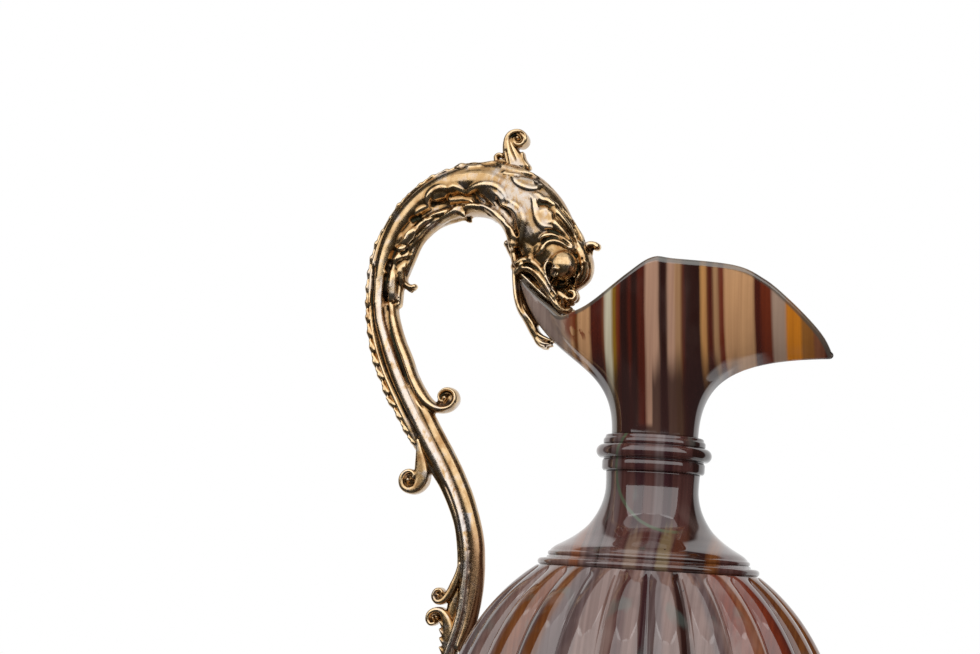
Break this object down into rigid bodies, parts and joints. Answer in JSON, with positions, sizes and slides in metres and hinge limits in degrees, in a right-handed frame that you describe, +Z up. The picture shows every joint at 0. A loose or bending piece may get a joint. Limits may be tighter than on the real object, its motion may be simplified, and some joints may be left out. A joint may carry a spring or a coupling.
{
  "type": "ewer",
  "caption": "Banded hardstone ewer with a gadrooned body, beaked lip and a cast gilt handle shaped as a sea beast that bites the lip; stands on a round foot.",
  "frame": {"origin": "middle of the underside, on the flush head of the tie bolt and the plane the foot stands on", "axes": "+Z up along the turned axis of the vessel, +X towards the spout, the handle towards -X"},
  "size_m": [0.1413, 0.1104, 0.2919],
  "materials": {
    "agate_light": "polished",
    "agate_dark": "polished",
    "gilt": "aged gilt, satin",
    "gilt_worn": "worn gilt, satin",
    "brass": "turned",
    "steel": "turned",
    "gasket": "matte"
  },
  "bodies": {
    "root": {"lip_section": "agate_light", "stem_knop": "agate_light", "foot": "agate_light", "body": "agate_dark", "neck": "agate_dark", "neck_collar": "agate_dark", "foot_rim": "gilt", "foot_collar": "gilt", "knop_collar": "gilt", "body_calyx": "gilt", "handle_scroll": "gilt", "inner_scroll": "gilt", "beast_head": "gilt", "lower_jaw": "gilt", "handle_saddle": "gilt", "crest_strip": "gilt_worn", "tail_scroll_upper": "gilt_worn", "tail_scroll_lower": "gilt_worn", "crest_curl": "gilt_worn", "inner_leaf_curl": "gilt_worn", "throat_curl": "gilt_worn", "brow_curl": "gilt_worn", "dorsal_leaf_back": "gilt_worn", "dorsal_leaf_front": "gilt_worn", "mane_fin_left": "gilt_worn", "mane_fin_right": "gilt_worn", "acanthus_left": "gilt_worn", "acanthus_right": "gilt_worn", "base_plate": "brass", "bowl_washer": "brass", "bowl_nut": "brass", "screw_washer": "brass", "tie_bolt": "steel", "foot_screw": "steel", "bowl_seal": "gasket"}
  },
  "joints": []
}
